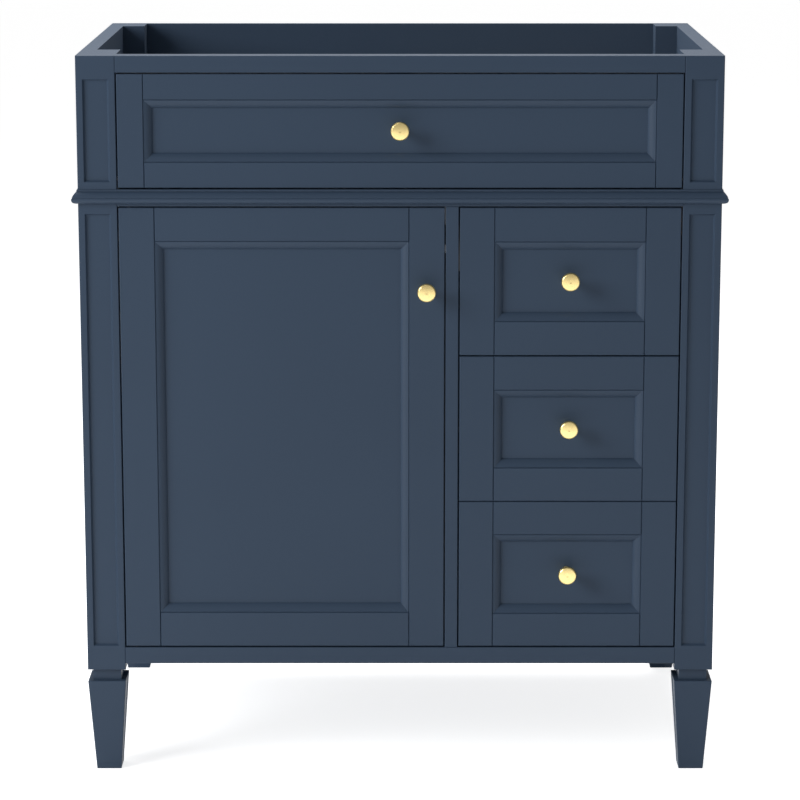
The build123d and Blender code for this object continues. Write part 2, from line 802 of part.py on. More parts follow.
# ================================================================ door
door_left, door_right, door_bottom, door_top = front_frame(
    DOOR, DOOR_STILE, DOOR_BOTTOM_RAIL, DOOR_TOP_RAIL
)
with BuildPart() as door_stile_left:
    add(door_left)
    for edge_z, inward in ((DOOR["high"], -1), (DOOR["low"], 1)):
        bore(
            (DOOR_PIVOT_X, FRONT + PIVOT_DEPTH, edge_z),
            (0, 0, inward),
            PIVOT_RADIUS,
            DOOR_PIVOT_IN_DOOR,
        )
save(door_stile_left.part, "door_stile_left")

with BuildPart() as door_stile_right:
    add(door_right)
    bore(
        (DOOR_KNOB[0], FRONT, DOOR_KNOB[1]),
        (0, 1, 0),
        SCREW_RADIUS + SCREW_CLEARANCE,
        FRONT_THICKNESS,
    )
save(door_stile_right.part, "door_stile_right")
save(door_bottom, "door_bottom_rail")
save(door_top, "door_top_rail")
save(front_panel(DOOR, DOOR_STILE, DOOR_BOTTOM_RAIL, DOOR_TOP_RAIL), "door_panel")
save(knob(*DOOR_KNOB, FRONT, FRONT + FRONT_THICKNESS), "door_knob")

with BuildPart() as door_pivot_pins:
    pin_length = (
        DOOR_PIVOT_IN_DOOR
        + MIDDLE_RAIL_BOTTOM
        - DOOR["high"]
        + DOOR_PIVOT_IN_RAIL
        - PIVOT_END_PLAY
    )
    for edge_z, outward in ((DOOR["high"], 1), (DOOR["low"], -1)):
        bore(
            (
                DOOR_PIVOT_X,
                FRONT + PIVOT_DEPTH,
                edge_z - outward * DOOR_PIVOT_IN_DOOR,
            ),
            (0, 0, outward),
            PIVOT_RADIUS,
            pin_length,
            Mode.ADD,
        )
save(door_pivot_pins.part, "door_pivot_pins")

with BuildPart() as door_strike:
    board(
        (DOOR["right"] - STRIKE_MARGIN - STRIKE_WIDTH, DOOR["right"] - STRIKE_MARGIN),
        (FRONT + FRONT_THICKNESS, FRONT + FRONT_THICKNESS + STRIKE_THICKNESS),
        (DOOR_CATCH_LOW, DOOR_CATCH_LOW + CATCH_LENGTH),
    )
save(door_strike.part, "door_strike")

# One magnet catch is on the divider for the door, one behind the top rail for the tip-out.
with BuildPart() as magnet_catches:
    magnet_face = FRONT + FRONT_THICKNESS + STRIKE_THICKNESS + CATCH_GAP
    block_face = FRONT + RAIL_THICKNESS + CATCH_SETBACK
    nose_margin = CATCH_NOSE_INSET + STRIKE_MARGIN
    board(
        (DIVIDER_LEFT - CATCH_BODY, DIVIDER_LEFT),
        (block_face, block_face + CATCH_DEPTH),
        (DOOR_CATCH_LOW, DOOR_CATCH_LOW + CATCH_LENGTH),
    )
    board(
        (DIVIDER_LEFT - CATCH_BODY, DIVIDER_LEFT - nose_margin),
        (magnet_face, block_face),
        (DOOR_CATCH_LOW + CATCH_NOSE_INSET, DOOR_CATCH_LOW + CATCH_LENGTH - CATCH_NOSE_INSET),
    )
    board(
        (-CATCH_LENGTH / 2, CATCH_LENGTH / 2),
        (FRONT + RAIL_THICKNESS, FRONT + RAIL_THICKNESS + TIPOUT_CATCH_DEPTH),
        (TIPOUT["high"] - CATCH_BODY, TIPOUT_CATCH_BLOCK_TOP),
    )
    board(
        (-CATCH_LENGTH / 2 + CATCH_NOSE_INSET, CATCH_LENGTH / 2 - CATCH_NOSE_INSET),
        (magnet_face, FRONT + RAIL_THICKNESS),
        (TIPOUT["high"] - CATCH_BODY + CATCH_NOSE_INSET, TIPOUT["high"] - nose_margin),
    )
save(magnet_catches.part, "magnet_catches")


# ================================================================ drawers
def slide_member(wall_x, inward, web_at, lip_at, z, height):
    """One channel of a ball-bearing slide: a web with two lips, along Y."""
    rear = FRONT + SLIDE_SETBACK + SLIDE_LENGTH
    reach = sorted((wall_x + inward * web_at, wall_x + inward * lip_at))
    web_sense = 1 if lip_at > web_at else -1
    hollow_start = wall_x + inward * (web_at + web_sense * SHEET)
    hollow = sorted((hollow_start, wall_x + inward * (lip_at + web_sense * CUT_PAST)))
    with BuildPart() as channel:
        board(reach, (FRONT + SLIDE_SETBACK, rear), (z - height / 2, z + height / 2))
        board(
            hollow,
            (FRONT, rear + CUT_PAST),
            (z - height / 2 + SHEET, z + height / 2 - SHEET),
            Mode.SUBTRACT,
        )
    return channel.part


def slide_pair(z, web_at, lip_at, height):
    """The same member on the left and the right side of one drawer."""
    return [
        slide_member(DIVIDER_RIGHT, 1, web_at, lip_at, z, height),
        slide_member(POST_INNER, -1, web_at, lip_at, z, height),
    ]


def box_walls(low, hole_z):
    """The drawer box's two sides, front and back, grooved for its bottom."""
    heights = (low, low + BOX_HEIGHT)
    inside = (BOX_LEFT + BOX_WALL, BOX_RIGHT - BOX_WALL)
    groove = (
        (BOX_LEFT + BOX_WALL - BOX_GROOVE, BOX_RIGHT - BOX_WALL + BOX_GROOVE),
        (BOX_FRONT + BOX_WALL - BOX_GROOVE, BOX_BACK - BOX_WALL + BOX_GROOVE),
        (low + BOX_BOTTOM_LIFT, low + BOX_BOTTOM_LIFT + BOX_BOTTOM_THICKNESS),
    )
    plans = [
        ((BOX_LEFT, inside[0]), (BOX_FRONT, BOX_BACK)),
        ((inside[1], BOX_RIGHT), (BOX_FRONT, BOX_BACK)),
        (inside, (BOX_FRONT, BOX_FRONT + BOX_WALL)),
        (inside, (BOX_BACK - BOX_WALL, BOX_BACK)),
    ]
    walls = []
    for x_range, y_range in plans:
        with BuildPart() as wall:
            board(x_range, y_range, heights)
            board(*groove, Mode.SUBTRACT)
            if y_range[0] == BOX_FRONT and x_range == inside:
                bore(
                    (DRAWER_KNOB_X, BOX_FRONT, hole_z),
                    (0, 1, 0),
                    SCREW_RADIUS + SCREW_CLEARANCE,
                    BOX_WALL,
                )
        walls.append(wall.part)
    with BuildPart() as bottom:
        board(*groove)
    return Compound(walls), bottom.part


cabinet_members = []
for number, (low, high) in enumerate(DRAWER_HEIGHTS, start=1):
    node = f"drawer_{number}"
    box = {"left": DRAWER_LEFT, "right": DRAWER_RIGHT, "low": low, "high": high}
    knob_at = (DRAWER_KNOB_X, (low + high) / 2 + DRAWER_KNOB_RISE)
    sizes = (DRAWER_STILE, DRAWER_RAIL, DRAWER_RAIL)
    save(Compound(front_frame(box, *sizes)), f"{node}_front_frame")
    save(front_panel(box, *sizes, knob_at), f"{node}_panel")
    save(knob(*knob_at, PANEL_FACE, BOX_FRONT + BOX_WALL), f"{node}_knob")
    walls, bottom = box_walls(low + BOX_LIFT, knob_at[1])
    save(walls, f"{node}_box_walls")
    save(bottom, f"{node}_box_bottom")
    slide_z = low + BOX_LIFT + BOX_HEIGHT / 2
    cabinet_sizes = (0, CABINET_MEMBER_REACH, CABINET_MEMBER_HEIGHT)
    middle_sizes = (MIDDLE_MEMBER_WEB, MIDDLE_MEMBER_REACH, MIDDLE_MEMBER_HEIGHT)
    inner_sizes = (SLIDE_WIDTH, DRAWER_MEMBER_REACH, DRAWER_MEMBER_HEIGHT)
    cabinet_members += slide_pair(slide_z, *cabinet_sizes)
    save(Compound(slide_pair(slide_z, *middle_sizes)), f"{node}_slide_middles")
    save(Compound(slide_pair(slide_z, *inner_sizes)), f"{node}_slide_inners")
save(Compound(cabinet_members), "slide_cabinet_members")
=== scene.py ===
import json
import math

import bmesh
import bpy
from mathutils import Matrix, Vector


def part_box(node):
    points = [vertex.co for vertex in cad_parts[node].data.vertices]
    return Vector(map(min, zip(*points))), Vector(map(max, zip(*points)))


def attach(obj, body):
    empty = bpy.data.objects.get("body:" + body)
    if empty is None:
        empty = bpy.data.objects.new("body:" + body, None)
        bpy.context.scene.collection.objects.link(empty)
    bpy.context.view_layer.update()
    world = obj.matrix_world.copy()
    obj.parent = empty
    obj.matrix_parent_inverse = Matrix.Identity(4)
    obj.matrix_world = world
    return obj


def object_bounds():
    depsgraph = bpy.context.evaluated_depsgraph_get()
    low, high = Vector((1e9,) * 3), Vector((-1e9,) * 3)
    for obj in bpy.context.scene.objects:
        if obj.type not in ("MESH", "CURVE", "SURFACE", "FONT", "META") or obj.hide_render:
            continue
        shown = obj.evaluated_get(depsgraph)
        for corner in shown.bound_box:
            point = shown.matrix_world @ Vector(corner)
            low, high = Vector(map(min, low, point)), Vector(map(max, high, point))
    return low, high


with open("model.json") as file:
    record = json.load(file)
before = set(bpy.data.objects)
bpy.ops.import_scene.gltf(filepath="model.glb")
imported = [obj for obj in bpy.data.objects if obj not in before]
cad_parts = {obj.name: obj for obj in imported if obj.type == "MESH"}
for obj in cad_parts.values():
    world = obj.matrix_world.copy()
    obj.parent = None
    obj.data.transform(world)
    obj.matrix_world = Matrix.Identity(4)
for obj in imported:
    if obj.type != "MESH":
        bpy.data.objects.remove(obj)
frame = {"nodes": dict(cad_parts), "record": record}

CAD_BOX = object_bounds()
MM = 0.001

# ---------------------------------------------------------------- driving values
FRONT_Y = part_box("top_rail")[0].y
HEIGHT = CAD_BOX[1].z
SIDE_INNER = -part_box("side_panel_left")[1].x
FRONT_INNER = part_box("top_rail")[1].y
BACK_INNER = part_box("back_panel")[0].y
SLACK = 0.1 * MM

CAMERA_DISTANCE = 3.4
CAMERA_HEIGHT = 1.180
CAMERA_TILT = 11.206
CAMERA_LENS = 132.59
CAMERA_SHIFT = -0.05
SENSOR_WIDTH = 36.0
CLIP_END = 100.0

SURROUND = 0.19
GLOSS_SURROUND = 0.42
FLOOR_GLOW = 0.79
KEY_WATTS = 115.0
KEY_PLACE = (-3.3, FRONT_Y - 1.95, 2.2)
KEY_TARGET = (0.0, FRONT_Y, 0.45)
KEY_SIZE = (2.0, 2.0)
TOP_WATTS = 74.0
TOP_PLACE = (-0.3, 0.9, 2.7)
TOP_TARGET = (0.0, 0.1, 0.8)
TOP_SIZE = (2.4, 1.6)
FLOOR_HALF_SIZE = 12.0
FLOOR_CELLS = 8
FLOOR_TONE = 0.90
FLOOR_ROUGHNESS = 0.7
WHITE = (1.0, 1.0, 1.0)

PAINT = (0.039, 0.0645, 0.107)
INSIDE_MATT = 0.3
EDGE_ROUND = 0.6 * MM
BRASS = (0.95, 0.752, 0.333)
ZINC = (0.60, 0.61, 0.63)
# Black-zinc hardware colour: partly a real finish, partly painted shade for the gaps of the front.
BLACK_ZINC_GAP_SHADE = (0.035, 0.035, 0.04)
# Black plastic: the real colour of the catches, also the colour of the painted-shade strip behind the door
# gap.
BLACK_PLASTIC_AND_GAP_SHADE = (0.02, 0.02, 0.022)
WHITE_PLASTIC = (0.80, 0.80, 0.78)
BIRCH = (0.62, 0.45, 0.27)
BIRCH_DARK = (0.47, 0.31, 0.17)


# ================================================================ camera, floor, light
def make_camera():
    """The photographer's place: in front, a little above the open top, looking slightly down."""
    data = bpy.data.cameras.new("camera")
    data.lens = CAMERA_LENS
    data.sensor_width = SENSOR_WIDTH
    data.shift_y = CAMERA_SHIFT
    data.clip_end = CLIP_END
    camera = bpy.data.objects.new("camera", data)
    camera.location = (0.0, FRONT_Y - CAMERA_DISTANCE, CAMERA_HEIGHT)
    camera.rotation_euler = (math.radians(90.0 - CAMERA_TILT), 0.0, 0.0)
    bpy.context.scene.collection.objects.link(camera)
    bpy.context.scene.camera = camera


def area_light(name, place, target, size, watts):
    """A soft box at a place, turned to its target."""
    data = bpy.data.lights.new(name, "AREA")
    data.shape = "RECTANGLE"
    data.size, data.size_y = size
    data.energy = watts
    light = bpy.data.objects.new(name, data)
    light.location = place
    light.rotation_euler = (Vector(target) - Vector(place)).to_track_quat("-Z", "Y").to_euler()
    bpy.context.scene.collection.objects.link(light)


def make_light():
    """A white studio: an even surround, a key high on the left and a broad top light."""
    world = bpy.data.worlds.new("studio")
    world.use_nodes = True
    tree = world.node_tree
    background = tree.nodes["Background"]
    background.inputs["Color"].default_value = (*WHITE, 1.0)
    rays = add_node(tree, "ShaderNodeLightPath")
    base = {"To Min": SURROUND, "To Max": 1.0}
    extra = {"To Min": 0.0, "To Max": GLOSS_SURROUND - SURROUND}
    seen = add_node(tree, "ShaderNodeMapRange", base, Value=rays.outputs["Is Camera Ray"])
    mirrored = add_node(tree, "ShaderNodeMapRange", extra, Value=rays.outputs["Is Glossy Ray"])
    strength = add_node(tree, "ShaderNodeMath", {"operation": "ADD"})
    tree.links.new(seen.outputs["Result"], strength.inputs[0])
    tree.links.new(mirrored.outputs["Result"], strength.inputs[1])
    tree.links.new(strength.outputs["Value"], background.inputs["Strength"])
    bpy.context.scene.world = world
    area_light("key", KEY_PLACE, KEY_TARGET, KEY_SIZE, KEY_WATTS)
    area_light("top", TOP_PLACE, TOP_TARGET, TOP_SIZE, TOP_WATTS)
    bpy.context.scene.view_settings.view_transform = "Standard"
    bpy.context.scene.view_settings.look = "None"


def make_floor():
    """A pale studio floor that stays white to the camera."""
    mesh = bpy.data.meshes.new("floor")
    grid = bmesh.new()
    bmesh.ops.create_grid(grid, x_segments=FLOOR_CELLS, y_segments=FLOOR_CELLS, size=FLOOR_HALF_SIZE)
    grid.to_mesh(mesh)
    grid.free()
    floor = bpy.data.objects.new("floor", mesh)
    bpy.context.scene.collection.objects.link(floor)
    material, shader = new_material("floor_paint")
    shader.inputs["Base Color"].default_value = (*tint(WHITE, FLOOR_TONE), 1.0)
    shader.inputs["Roughness"].default_value = FLOOR_ROUGHNESS
    shader.inputs["Emission Color"].default_value = (*WHITE, 1.0)
    tree = material.node_tree
    rays = add_node(tree, "ShaderNodeLightPath")
    lit = add_node(tree, "ShaderNodeMath", {"operation": "MAXIMUM"})
    tree.links.new(rays.outputs["Is Camera Ray"], lit.inputs[0])
    tree.links.new(rays.outputs["Is Glossy Ray"], lit.inputs[1])
    values = {"To Min": 0.0, "To Max": FLOOR_GLOW}
    glow = add_node(tree, "ShaderNodeMapRange", values, Value=lit.outputs["Value"])
    tree.links.new(glow.outputs["Result"], shader.inputs["Emission Strength"])
    mesh.materials.append(material)


# ================================================================ materials
def new_material(name):
    """An empty node material and its shader."""
    material = bpy.data.materials.new(name)
    material.use_nodes = True
    return material, material.node_tree.nodes["Principled BSDF"]


def add_node(tree, kind, values=(), **links):
    """One shader node: plain inputs from values, linked inputs by name."""
    node = tree.nodes.new(kind)
    for key, value in dict(values).items():
        if key in node.inputs:
            node.inputs[key].default_value = value
        else:
            setattr(node, key, value)
    for key, socket in links.items():
        tree.links.new(socket, node.inputs[key.replace("_", " ")])
    return node


def object_place(tree, stretch=(1.0, 1.0, 1.0)):
    """Places in metres in the shared frame, stretched per axis."""
    place = add_node(tree, "ShaderNodeTexCoord")
    mapping = add_node(tree, "ShaderNodeMapping", {"Scale": stretch}, Vector=place.outputs["Object"])
    return mapping.outputs["Vector"]


def noise(tree, place, scale, detail):
    """Plain noise of a given number of cells to the metre."""
    values = {"Scale": scale, "Detail": detail, "Roughness": 0.5}
    return add_node(tree, "ShaderNodeTexNoise", values, Vector=place).outputs["Fac"]


def ramp(tree, factor, low, high, start=0.3, end=0.7):
    """A colour ramp between two colours."""
    node = add_node(tree, "ShaderNodeValToRGB", Fac=factor)
    node.color_ramp.elements[0].position = start
    node.color_ramp.elements[1].position = end
    node.color_ramp.elements[0].color = (*low, 1.0)
    node.color_ramp.elements[1].color = (*high, 1.0)
    return node.outputs["Color"]


def spread(tree, factor, low, high):
    """Noise brought to a range of values."""
    values = {"From Min": 0.3, "From Max": 0.7, "To Min": low, "To Max": high}
    return add_node(tree, "ShaderNodeMapRange", values, Value=factor).outputs["Result"]


def bump(tree, height, depth, strength=1.0, normal=None):
    """A bump of a given depth in metres."""
    links = {"Height": height}
    if normal:
        links["Normal"] = normal
    values = {"Distance": depth, "Strength": strength}
    return add_node(tree, "ShaderNodeBump", values, **links).outputs["Normal"]


def tint(colour, factor):
    """A lighter or darker copy of a colour."""
    return tuple(min(1.0, part * factor) for part in colour)


def multiply(tree, first, second):
    """Two colours multiplied."""
    node = add_node(tree, "ShaderNodeMix", {"data_type": "RGBA", "blend_type": "MULTIPLY"})
    node.inputs[0].default_value = 1.0
    tree.links.new(first, node.inputs[6])
    tree.links.new(second, node.inputs[7])
    return node.outputs[2]


def inside_mask(tree):
    """One inside the carcass, where the coat is thinner and duller, and zero on its outer faces."""
    low = Vector((-SIDE_INNER - SLACK, FRONT_INNER - SLACK, 0.0))
    high = Vector((SIDE_INNER + SLACK, BACK_INNER + SLACK, HEIGHT - SLACK))
    place = add_node(tree, "ShaderNodeTexCoord").outputs["Object"]
    parts = add_node(tree, "ShaderNodeSeparateXYZ", Vector=place)
    total = None
    for axis, (lowest, highest) in enumerate(zip(low, high)):
        for operation, limit in (("GREATER_THAN", lowest), ("LESS_THAN", highest)):
            test = add_node(tree, "ShaderNodeMath", {"operation": operation})
            tree.links.new(parts.outputs[axis], test.inputs[0])
            test.inputs[1].default_value = limit
            if total:
                both = add_node(tree, "ShaderNodeMath", {"operation": "MULTIPLY"})
                tree.links.new(total, both.inputs[0])
                tree.links.new(test.outputs["Value"], both.inputs[1])
                total = both.outputs["Value"]
            else:
                total = test.outputs["Value"]
    return total


def paint_material():
    """Sprayed satin lacquer: an even navy with a faint cloud, orange peel and eased edges."""
    material, shader = new_material("navy_paint")
    tree = material.node_tree
    place = object_place(tree)
    cloud = noise(tree, place, 3.0, 2.0)
    speck = noise(tree, place, 900.0, 2.0)
    peel = noise(tree, place, 420.0, 2.0)
    fibre = noise(tree, object_place(tree, (1.0, 1.0, 0.06)), 260.0, 3.0)
    body = ramp(tree, cloud, tint(PAINT, 0.965), tint(PAINT, 1.035))
    fleck = ramp(tree, speck, tint(WHITE, 0.965), WHITE)
    mixed = multiply(tree, body, fleck)
    rounded = add_node(tree, "ShaderNodeBevel", {"samples": 6, "Radius": EDGE_ROUND})
    grain = bump(tree, fibre, 0.05 * MM, 0.25, rounded.outputs["Normal"])
    skin = bump(tree, peel, 0.04 * MM, 0.35, grain)
    tree.links.new(mixed, shader.inputs["Base Color"])
    rough = add_node(tree, "ShaderNodeMath", {"operation": "MULTIPLY_ADD"})
    tree.links.new(inside_mask(tree), rough.inputs[0])
    rough.inputs[1].default_value = INSIDE_MATT
    tree.links.new(spread(tree, peel, 0.40, 0.50), rough.inputs[2])
    tree.links.new(rough.outputs["Value"], shader.inputs["Roughness"])
    tree.links.new(skin, shader.inputs["Normal"])
    shader.inputs["Specular IOR Level"].default_value = 0.25
    return material


def brass_material():
    """Brushed brass: fine turned rings on the face."""
    material, shader = new_material("brushed_brass")
    tree = material.node_tree
    place = add_node(tree, "ShaderNodeTexCoord").outputs["Generated"]
    centred = add_node(tree, "ShaderNodeMapping", {"Location": (-0.5, 0.0, -0.5)}, Vector=place)
    flat = add_node(tree, "ShaderNodeVectorMath", {"operation": "MULTIPLY"}, Vector=centred.outputs["Vector"])
    flat.inputs[1].default_value = (1.0, 0.0, 1.0)
    radius = add_node(tree, "ShaderNodeVectorMath", {"operation": "LENGTH"})
    tree.links.new(flat.outputs["Vector"], radius.inputs[0])
    rings = add_node(tree, "ShaderNodeTexNoise", {"noise_dimensions": "1D", "Scale": 90.0, "Detail": 4.0})
    tree.links.new(radius.outputs["Value"], rings.inputs["W"])
    cloud = noise(tree, object_place(tree), 220.0, 3.0)
    tree.links.new(ramp(tree, cloud, tint(BRASS, 0.94), tint(BRASS, 1.04)), shader.inputs["Base Color"])
    tree.links.new(spread(tree, rings.outputs["Fac"], 0.24, 0.36), shader.inputs["Roughness"])
    tree.links.new(bump(tree, rings.outputs["Fac"], 0.03 * MM, 0.4), shader.inputs["Normal"])
    shader.inputs["Metallic"].default_value = 1.0
    return material


def metal_material(name, colour, low, high, stretch):
    """Rolled, plated steel with fine lines along the rolling direction."""
    material, shader = new_material(name)
    tree = material.node_tree
    lines = noise(tree, object_place(tree, stretch), 900.0, 4.0)
    cloud = noise(tree, object_place(tree), 40.0, 3.0)
    tree.links.new(ramp(tree, cloud, tint(colour, 0.88), tint(colour, 1.08)), shader.inputs["Base Color"])
    tree.links.new(spread(tree, lines, low, high), shader.inputs["Roughness"])
    tree.links.new(bump(tree, lines, 0.03 * MM, 0.3), shader.inputs["Normal"])
    shader.inputs["Metallic"].default_value = 1.0
    return material


def plastic_material(name, colour, low, high):
    """Moulded plastic with a fine spark-eroded texture."""
    material, shader = new_material(name)
    tree = material.node_tree
    texture = noise(tree, object_place(tree), 1500.0, 2.0)
    cloud = noise(tree, object_place(tree), 25.0, 2.0)
    tree.links.new(ramp(tree, cloud, tint(colour, 0.96), tint(colour, 1.02)), shader.inputs["Base Color"])
    tree.links.new(spread(tree, cloud, low, high), shader.inputs["Roughness"])
    tree.links.new(bump(tree, texture, 0.02 * MM, 0.5), shader.inputs["Normal"])
    return material


def birch_material():
    """Clear-coated birch ply: long grain, fine pores and a warm cloud."""
    material, shader = new_material("birch_ply")
    tree = material.node_tree
    warp = noise(tree, object_place(tree, (1.0, 0.2, 1.0)), 9.0, 2.0)
    long_place = object_place(tree, (1.0, 0.05, 1.0))
    waves = {"Scale": 55.0, "Detail": 5.0, "Distortion": 0.6}
    figure = add_node(tree, "ShaderNodeTexNoise", waves, Vector=long_place)
    pores = noise(tree, object_place(tree, (1.0, 0.04, 1.0)), 700.0, 2.0)
    tone = ramp(tree, figure.outputs["Fac"], BIRCH_DARK, BIRCH, 0.25, 0.62)
    cloud = ramp(tree, warp, tint(WHITE, 0.90), WHITE)
    tree.links.new(multiply(tree, tone, cloud), shader.inputs["Base Color"])
    tree.links.new(spread(tree, pores, 0.36, 0.5), shader.inputs["Roughness"])
    tree.links.new(bump(tree, pores, 0.05 * MM, 0.4), shader.inputs["Normal"])
    return material


def dark_steel_gap_shade_material():
    """Black-passivated zinc plate, for the hardware that shows in the gaps of the front: the near-black
    colour is partly a real finish and partly painted shade that keeps those gaps dark.
    """
    material, shader = new_material("blackened_zinc_and_gap_shade")
    tree = material.node_tree
    cloud = noise(tree, object_place(tree), 60.0, 3.0)
    grain = noise(tree, object_place(tree), 1200.0, 2.0)
    tone = ramp(tree, cloud, tint(BLACK_ZINC_GAP_SHADE, 0.8), tint(BLACK_ZINC_GAP_SHADE, 1.2))
    tree.links.new(tone, shader.inputs["Base Color"])
    tree.links.new(spread(tree, cloud, 0.42, 0.56), shader.inputs["Roughness"])
    tree.links.new(bump(tree, grain, 0.02 * MM, 0.3), shader.inputs["Normal"])
    shader.inputs["Metallic"].default_value = 0.4
    return material


def dress_cad(finishes):
    """Give every CAD node the material of its slot."""
    slots = {part["node"]: part["material_slot"] for part in frame["record"]["subparts"]}
    for name, node in frame["nodes"].items():
        node.data.materials.clear()
        node.data.materials.append(finishes[slots[name]])


# ================================================================ small fittings
HEAD_SEGMENTS = 24
HEAD_PROFILE = [(1.0, 0.0), (0.98, 0.30), (0.88, 0.68), (0.70, 0.92)]
HEAD_TURN = 0.7
SHARP_ANGLE = math.radians(35.0)
CROSS_ARM = 0.52
CROSS_HALF_WIDTH = 0.11
CROSS_FLOOR = 0.25
CROSS_NARROWING = 0.7
BACK_SCREW = {"radius": 3.6 * MM, "height": 1.0 * MM}
BACK_SCREW_INSET = 12 * MM
BACK_SCREWS_ACROSS = 5
BACK_SCREWS_UP = 6
STRIKE_SCREW = {"radius": 2.2 * MM, "height": 0.5 * MM}
STRIKE_SCREW_SHARE = 0.32
TRAY_SCREW = {"radius": 3.4 * MM, "height": 1.6 * MM}
TRAY_WALL = 2.0 * MM
TRAY_SCREW_DROP = 12 * MM
TRAY_SCREW_INSET = 40 * MM
TRAY_SCREWS = 4
SLIDE_SCREW = {"radius": 3.6 * MM, "height": 1.6 * MM}
SLIDE_SHEET = 1.2 * MM
SLIDE_SCREW_FRONT = 34 * MM
SLIDE_SCREW_REAR = 60 * MM
PLUG = {"radius": 4.0 * MM, "height": 0.35 * MM, "cross": False}
PLUG_INSET = 6 * MM
PLUG_MARGIN = 16 * MM
PIN_COLLAR = {"radius": 3.6 * MM, "height": 1.0 * MM, "cross": False}
PIN_COLLAR_DROP = 1.2 * MM
PIN_RADIUS = 2.5 * MM
PIN_HALF_LENGTH = 8 * MM
# Size of the black strip behind the door's free edge, which is painted shade for the gap beside the door.
SHADE_STRIP_LAP = 0.8 * MM
SHADE_STRIP_PLAY = 0.8 * MM
SHADE_STRIP_DEPTH = 6.0 * MM
SHADE_STRIP_MARGIN = 10 * MM
SHADE_STRIP_ROUND = 0.4 * MM


def circle(radius, height):
    """Points round the axis at one height."""
    turns = [2 * math.pi * step / HEAD_SEGMENTS for step in range(HEAD_SEGMENTS)]
    return [Vector((radius * math.cos(turn), radius * math.sin(turn), height)) for turn in turns]


def cross_outline(arm, half_width, height):
    """The twelve corners of a cross recess."""
    corners = []
    for quarter in range(4):
        turn = Matrix.Rotation(quarter * math.pi / 2, 3, "Z")
        for x, y in ((arm, -half_width), (arm, half_width), (half_width, half_width)):
            corners.append(turn @ Vector((x, y, height)))
    return corners


def add_loop(mesh, points):
    """A closed ring of vertices and its edges."""
    ring = [mesh.verts.new(point) for point in points]
    edges = [mesh.edges.new((ring[i - 1], ring[i])) for i in range(len(ring))]
    return ring, edges


def wall(mesh, lower, upper):
    """Quads between two rings of the same count."""
    for i in range(len(lower)):
        mesh.faces.new((lower[i - 1], lower[i], upper[i], upper[i - 1]))


def add_head(mesh, radius, height, cross):
    """A low domed head standing on z = 0, with a cross recess or a plain crown."""
    rings = [add_loop(mesh, circle(radius * part, height * up)) for part, up in HEAD_PROFILE]
    for (lower, _), (upper, _) in zip(rings, rings[1:]):
        wall(mesh, lower, upper)
    crown_edges = rings[-1][1]
    if not cross:
        mesh.faces.new(rings[-1][0])
        return
    arm, half = radius * CROSS_ARM, radius * CROSS_HALF_WIDTH
    mouth, mouth_edges = add_loop(mesh, cross_outline(arm, half, height))
    narrow = (arm * CROSS_NARROWING, half * CROSS_NARROWING, height * CROSS_FLOOR)
    floor, _ = add_loop(mesh, cross_outline(*narrow))
    bmesh.ops.triangle_fill(mesh, edges=crown_edges + mouth_edges, use_beauty=True)
    wall(mesh, floor, mouth)
    mesh.faces.new(floor)


def place_piece(whole, name, body, material):
    """Turn finished mesh code into a named piece that rides on a body."""
    mesh = bpy.data.meshes.new(name)
    whole.to_mesh(mesh)
    whole.free()
    mesh.shade_smooth()
    mesh.set_sharp_from_angle(angle=SHARP_ANGLE)
    mesh.materials.append(material)
    piece = bpy.data.objects.new(name, mesh)
    bpy.context.scene.collection.objects.link(piece)
    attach(piece, body)


def fittings(name, body, slot, material, places, out, radius, height, cross=True):
    """One object of many small heads that stand on a face, pointing out of it."""
    whole = bmesh.new()
    turn = Vector(out).to_track_quat("Z", "X").to_matrix().to_4x4()
    for number, place in enumerate(places):
        before = len(whole.verts)
        add_head(whole, radius, height, cross)
        whole.verts.ensure_lookup_table()
        spin = Matrix.Rotation(HEAD_TURN * number, 4, "Z")
        fresh = whole.verts[before:]
        bmesh.ops.transform(whole, matrix=Matrix.Translation(place) @ turn @ spin, verts=fresh)
    bmesh.ops.recalc_face_normals(whole, faces=whole.faces)
    place_piece(whole, name, body, material)


def spaced(low, high, count):
    """Evenly spaced values from low to high."""
    return [low + (high - low) * step / (count - 1) for step in range(count)]


def back_screws(material):
    """The screws that hold the back panel, all round its edge."""
    low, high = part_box("back_panel")
    left, right = low.x + BACK_SCREW_INSET, high.x - BACK_SCREW_INSET
    bottom, top = low.z + BACK_SCREW_INSET, high.z - BACK_SCREW_INSET
    places = [(x, high.y, z) for z in (top, bottom) for x in spaced(left, right, BACK_SCREWS_ACROSS)]
    between = spaced(bottom, top, BACK_SCREWS_UP)[1:-1]
    places += [(x, high.y, z) for x in (left, right) for z in between]
    fittings("back_screws", "carcass", "zinc_steel", material, places, (0, 1, 0), **BACK_SCREW)


def catch_screws(material):
    """Two screws in each of the strikes."""
    for node, body in (("tipout_strike", "tipout"), ("door_strike", "door")):
        low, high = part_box(node)
        middle = (low + high) / 2
        reach = (high - low) * STRIKE_SCREW_SHARE
        along = Vector((reach.x, 0, 0)) if reach.x > reach.z else Vector((0, 0, reach.z))
        places = [Vector((middle.x, high.y, middle.z)) + along * way for way in (-1, 1)]
        fittings(f"{node}_screws", body, "black_steel", material, places, (0, 1, 0), **STRIKE_SCREW)


def tray_screws(material):
    """Four screws through the tray's front wall into the tip-out's rails."""
    low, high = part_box("tipout_tray")
    xs = spaced(low.x + TRAY_SCREW_INSET, high.x - TRAY_SCREW_INSET, TRAY_SCREWS)
    places = [(x, low.y + TRAY_WALL, high.z - TRAY_SCREW_DROP) for x in xs]
    fittings("tray_screws", "tipout", "zinc_steel", material, places, (0, 1, 0), **TRAY_SCREW)


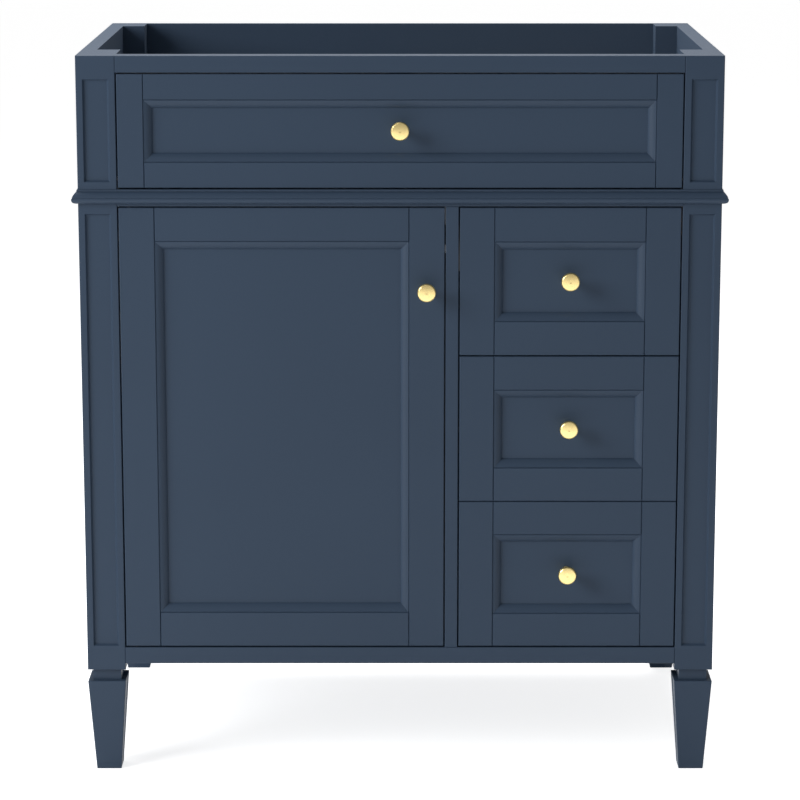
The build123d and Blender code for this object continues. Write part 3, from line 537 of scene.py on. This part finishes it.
def slide_screws(material):
    """Two screws in the web of each cabinet member, seen where the drawer stands open."""
    for number in (1, 2, 3):
        low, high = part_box(f"drawer_{number}_slide_middles")
        z = (low.z + high.z) / 2
        ys = (low.y + SLIDE_SCREW_FRONT, high.y - SLIDE_SCREW_REAR)
        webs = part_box("slide_cabinet_members")
        for side, face, out in (("left", webs[0].x, 1), ("right", webs[1].x, -1)):
            places = [(face + out * SLIDE_SHEET, y, z) for y in ys]
            name = f"slide_{number}_screws_{side}"
            fittings(name, "carcass", "zinc_steel", material, places, (out, 0, 0), **SLIDE_SCREW)


def box_plugs(material):
    """Turned birch plugs over the screws at the corners of each drawer box."""
    for number in (1, 2, 3):
        low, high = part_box(f"drawer_{number}_box_walls")
        member_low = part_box(f"drawer_{number}_slide_inners")[0]
        middle = (member_low.z + low.z) / 2 + PLUG_INSET
        zs = (low.z + PLUG_MARGIN, middle, high.z - PLUG_MARGIN)
        ys = (low.y + PLUG_INSET, high.y - PLUG_INSET)
        for side, face, out in (("left", low.x, -1), ("right", high.x, 1)):
            places = [(face, y, z) for y in ys for z in zs]
            name, body = f"drawer_{number}_plugs_{side}", f"drawer_{number}"
            fittings(name, body, "drawer_ply", material, places, (out, 0, 0), **PLUG)


def pin_collars(material):
    """A pressed collar round each shelf pin, where it leaves the wood."""
    low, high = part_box("shelf_pins")
    ys = (low.y + PIN_RADIUS, high.y - PIN_RADIUS)
    z = (low.z + high.z) / 2 - PIN_COLLAR_DROP
    faces = (("left", low.x + PIN_HALF_LENGTH, 1), ("right", high.x - PIN_HALF_LENGTH, -1))
    for side, face, out in faces:
        places = [(face, y, z) for y in ys]
        name = f"shelf_pin_collars_{side}"
        fittings(name, "carcass", "zinc_steel", material, places, (out, 0, 0), **PIN_COLLAR)


def door_gap_shade_strip(material):
    """A soft black strip down the divider, behind the door's free edge, below the catch; it is painted shade,
    a dark sheet that keeps the gap beside the door dark.
    """
    panel_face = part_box("divider_panel")[0].x
    door_low, door_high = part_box("door_stile_right")
    catch_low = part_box("door_strike")[0].z
    low = Vector((door_high.x - SHADE_STRIP_LAP, door_high.y + SHADE_STRIP_PLAY, door_low.z + SHADE_STRIP_MARGIN))
    high = Vector((panel_face, low.y + SHADE_STRIP_DEPTH, catch_low - SHADE_STRIP_MARGIN))
    section = [(low.x, low.y), (high.x, low.y), (high.x, high.y), (low.x, high.y)]
    strip = bmesh.new()
    rings = [add_loop(strip, [Vector((x, y, z)) for x, y in section]) for z in (low.z, high.z)]
    wall(strip, rings[0][0], rings[1][0])
    for ring, _ in rings:
        strip.faces.new(ring)
    bmesh.ops.recalc_face_normals(strip, faces=strip.faces)
    bmesh.ops.bevel(strip, geom=strip.edges[:], offset=SHADE_STRIP_ROUND, segments=2, affect="EDGES")
    place_piece(strip, "door_gap_shade_strip", "carcass", material)


make_camera()
make_light()
make_floor()

FINISHES = {
    "navy_paint": paint_material(),
    "brass": brass_material(),
    "zinc_steel": metal_material("zinc_plate", ZINC, 0.26, 0.42, (1.0, 0.04, 1.0)),
    # black_steel: near-black hardware in the front gaps, partly painted shade.
    "black_steel": dark_steel_gap_shade_material(),
    "catch_plastic": plastic_material("plastic_black_and_gap_shade", BLACK_PLASTIC_AND_GAP_SHADE, 0.4, 0.5),
    "tray_plastic": plastic_material("white_plastic", WHITE_PLASTIC, 0.3, 0.4),
    "drawer_ply": birch_material(),
}
dress_cad(FINISHES)
back_screws(FINISHES["zinc_steel"])
catch_screws(FINISHES["black_steel"])
tray_screws(FINISHES["zinc_steel"])
slide_screws(FINISHES["zinc_steel"])
box_plugs(FINISHES["drawer_ply"])
pin_collars(FINISHES["zinc_steel"])
# Painted shade: a black strip that keeps the gap beside the door dark.
door_gap_shade_strip(FINISHES["catch_plastic"])
